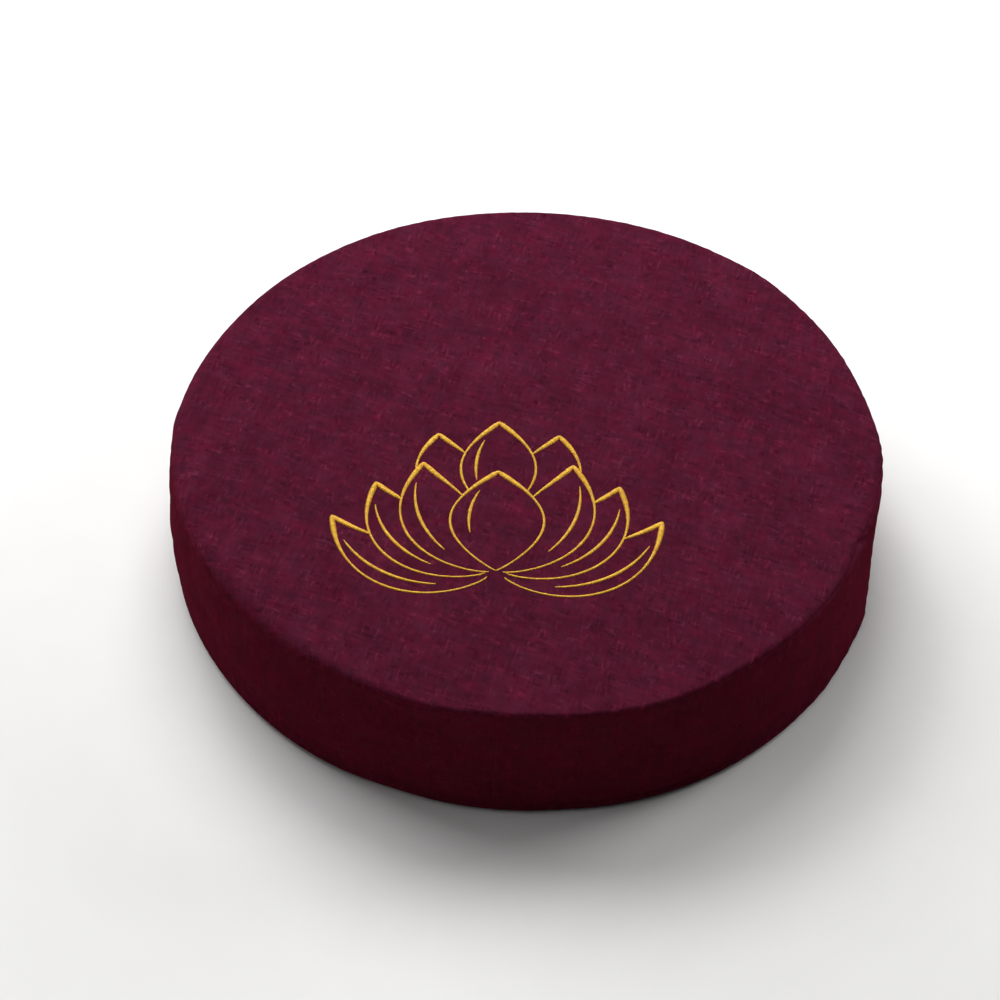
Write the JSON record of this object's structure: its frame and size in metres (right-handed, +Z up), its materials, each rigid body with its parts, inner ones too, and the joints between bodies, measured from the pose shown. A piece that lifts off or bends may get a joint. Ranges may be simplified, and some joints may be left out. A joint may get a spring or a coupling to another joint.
{
  "type": "round meditation cushion",
  "caption": "Low, firm, round floor cushion in wine linen-look cloth: gently crowned top with a line-embroidered lotus, a sewn-in side band and a flat base.",
  "frame": {"origin": "middle of the flat base, on the disc's axis", "axes": "+Z up through the top panel; +X to the right and -Y to the front as one faces the embroidered flower, whose foot points to -Y"},
  "size_m": [0.4047, 0.4028, 0.0896],
  "materials": {
    "cloth": "matt linen-look plain weave with slubs, wine red",
    "thread": "glossy golden-yellow embroidery thread"
  },
  "bodies": {
    "root": {"cushion": "cloth"}
  },
  "joints": []
}
